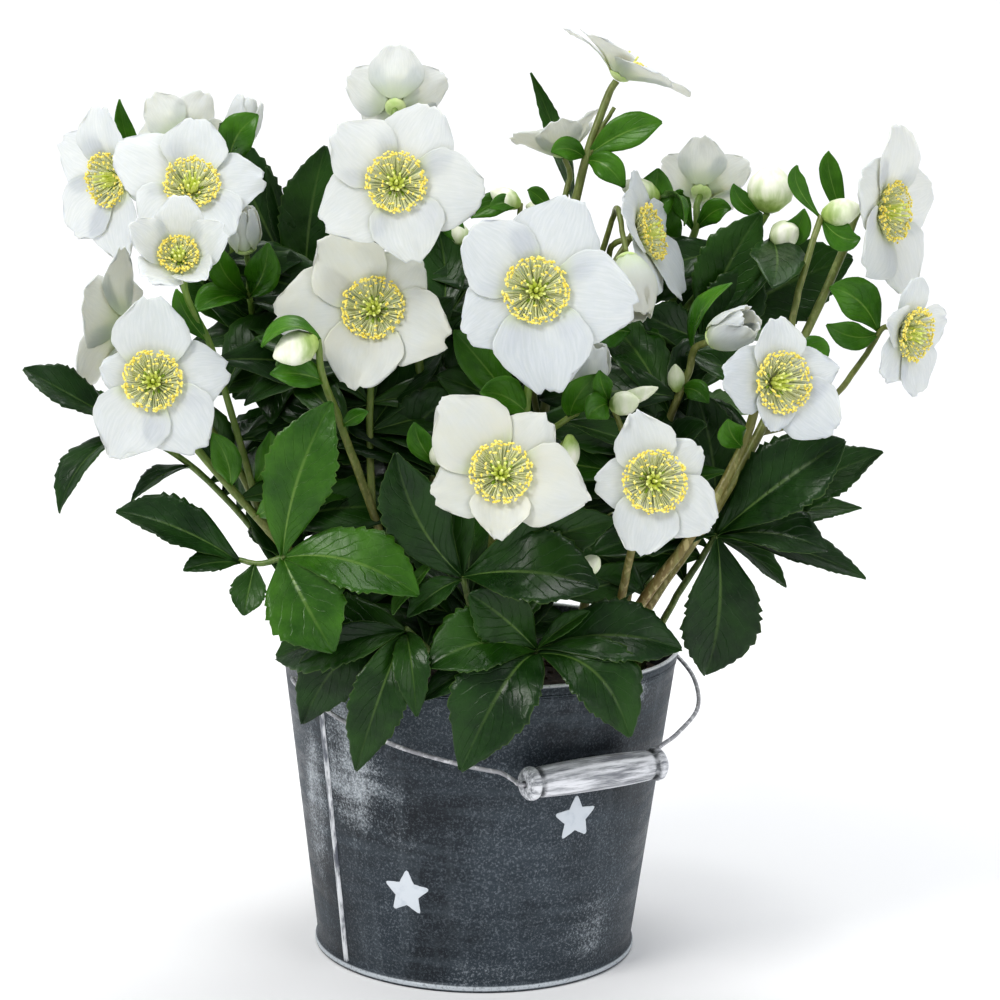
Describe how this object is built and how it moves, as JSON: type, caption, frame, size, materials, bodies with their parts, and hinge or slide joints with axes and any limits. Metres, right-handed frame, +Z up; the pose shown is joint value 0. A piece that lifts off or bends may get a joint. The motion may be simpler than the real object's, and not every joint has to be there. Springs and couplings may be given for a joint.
{
  "type": "potted hellebore",
  "caption": "Christmas rose plant in flower with palmate evergreen leaves, growing in a tapered zinc bucket with a swinging wire bail and a wooden grip.",
  "frame": {"origin": "middle of the bucket's flat underside", "axes": "+Z up, -Y towards the front, where most blooms look; +X to the right as seen from the front"},
  "size_m": [0.4044, 0.304, 0.4236],
  "materials": {
    "zinc": "matte",
    "ears": "matte",
    "wire": "satin",
    "grip_wood": "matte",
    "soil": "matte",
    "petals": "satin",
    "stamens": "matte",
    "stems": "satin",
    "leaves": "satin"
  },
  "bodies": {
    "pot": {"bucket": "zinc", "soil": "soil", "ear_left": "ears", "ear_right": "ears", "bloom_01": "petals", "bloom_02": "petals", "bloom_03": "petals", "bloom_04": "petals", "bloom_05": "petals", "bloom_06": "petals", "bloom_07": "petals", "bloom_08": "petals", "bloom_09": "petals", "bloom_10": "petals", "bloom_11": "petals", "bloom_12": "petals", "bloom_13": "petals", "bloom_14": "petals", "bloom_15": "petals", "bloom_16": "petals", "bloom_17": "petals", "bloom_18": "petals", "bloom_19": "petals", "stamens_01": "stamens", "stamens_02": "stamens", "stamens_03": "stamens", "stamens_04": "stamens", "stamens_05": "stamens", "stamens_06": "stamens", "stamens_07": "stamens", "stamens_08": "stamens", "stamens_09": "stamens", "stamens_10": "stamens", "stamens_11": "stamens", "stamens_12": "stamens", "stamens_13": "stamens", "stamens_14": "stamens", "stamens_15": "stamens", "stamens_16": "stamens", "stamens_17": "stamens", "stamens_18": "stamens", "stamens_19": "stamens", "half_open_1": "petals", "half_open_2": "petals", "half_open_3": "petals", "half_open_4": "petals", "half_open_5": "petals", "stems_left": "stems", "stems_front_left": "stems", "stems_middle": "stems", "stems_top": "stems", "stems_right": "stems", "stems_back": "stems", "fronds_left": "leaves", "fronds_front": "leaves", "fronds_right": "leaves", "fronds_middle": "leaves", "fronds_back": "leaves"},
    "bail": {"bail_wire": "wire"},
    "grip": {"grip": "grip_wood"}
  },
  "joints": [
    {"name": "bail_hinge", "type": "hinge", "parent": "pot", "child": "bail", "pos_m": [0, 0, 0.136], "axis": [-0.848, -0.5299, 0], "range_deg": [0, 25]},
    {"name": "grip_spin", "type": "hinge", "parent": "bail", "child": "grip", "pos_m": [0.05076, -0.08123, 0.10395], "axis": [0.848, 0.5299, 0], "continuous": true}
  ]
}
